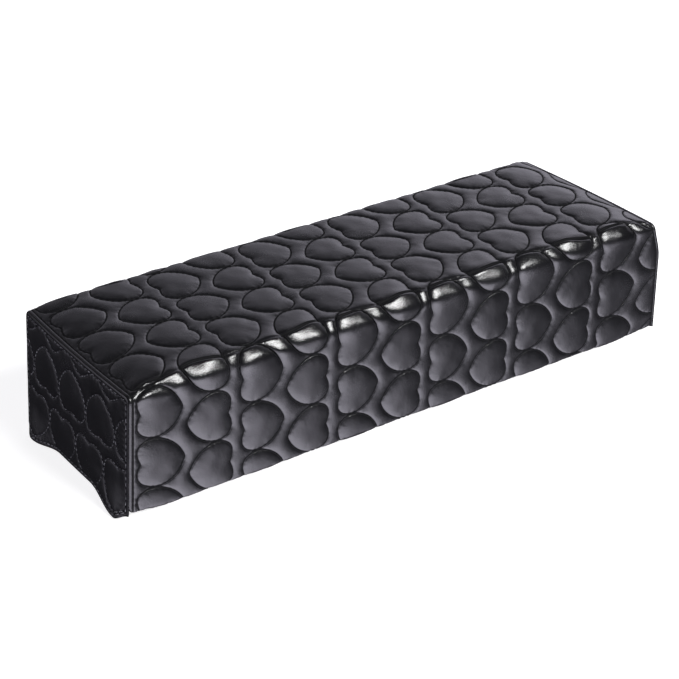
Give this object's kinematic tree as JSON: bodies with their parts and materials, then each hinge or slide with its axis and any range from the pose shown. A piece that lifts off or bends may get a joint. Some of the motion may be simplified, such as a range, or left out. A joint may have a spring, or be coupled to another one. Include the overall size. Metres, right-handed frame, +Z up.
{
  "type": "manicure hand rest",
  "caption": "Long padded hand rest: a foam block in a quilted cover with heart stitching, sewn-in end panels and a flat bottom.",
  "frame": {"origin": "on the table, under the middle of the rest", "axes": "+X along the rest towards its right end as seen from the front, +Y from the front to the back, +Z up"},
  "size_m": [0.3132, 0.0989, 0.0684],
  "materials": {
    "quilted_leather": "semi-gloss black quilted leatherette",
    "backing_cloth": "plain matt black cloth",
    "foam": "pale upholstery foam"
  },
  "bodies": {
    "root": {"quilted_wrap": "quilted_leather", "left_end_panel": "quilted_leather", "right_end_panel": "quilted_leather", "bottom_panel": "backing_cloth", "foam_core": "foam"}
  },
  "joints": []
}
